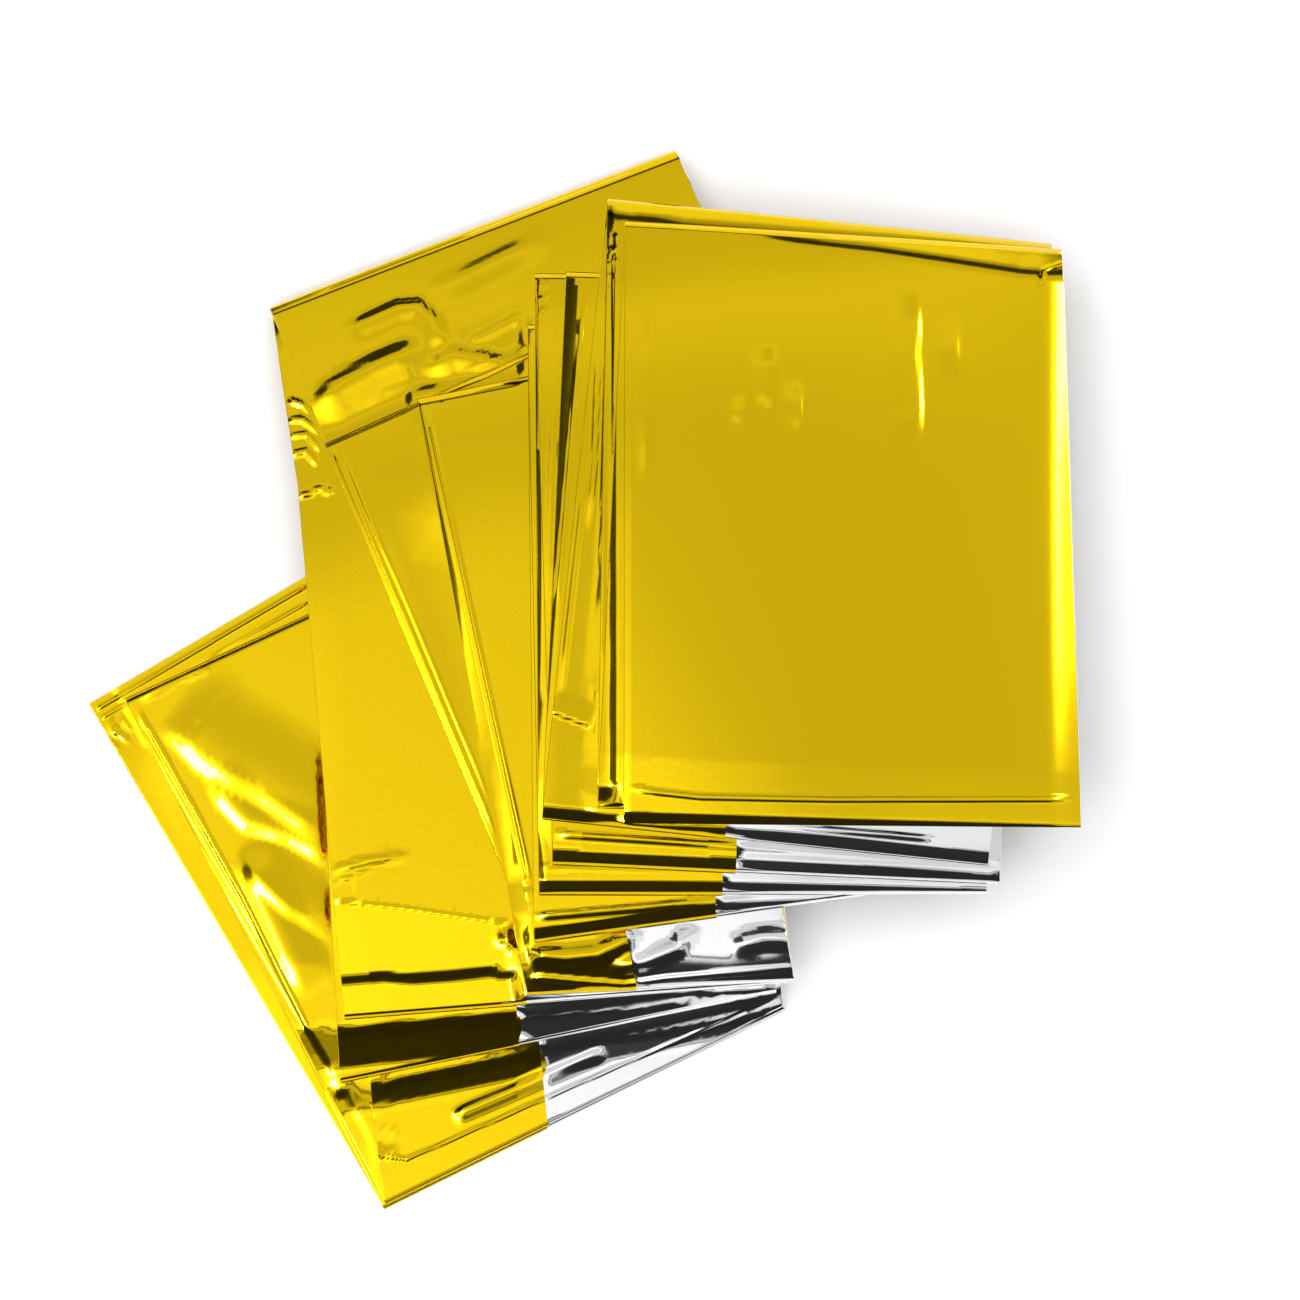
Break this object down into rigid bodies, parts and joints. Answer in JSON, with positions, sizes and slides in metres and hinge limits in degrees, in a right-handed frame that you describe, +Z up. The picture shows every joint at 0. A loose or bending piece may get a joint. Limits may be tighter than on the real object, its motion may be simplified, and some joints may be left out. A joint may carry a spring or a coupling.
{
  "type": "emergency foil blanket",
  "caption": "Rescue blanket of thin metallised film, gold on one side and silver on the other, folded to a narrow strip and back and forth into a pile of leaves that has been fanned open.",
  "frame": {"origin": "centre of the underside of the bounding box, on the surface the blanket lies on", "axes": "+Z up through the pile of leaves, +Y towards the back folds, +X towards the right end of the top leaf"},
  "size_m": [0.1681, 0.1799, 0.0322],
  "materials": {
    "gold_foil": "metallised film, mirror gloss, gold outside and silver inside"
  },
  "bodies": {
    "root": {"foil_blanket": "gold_foil"}
  },
  "joints": []
}
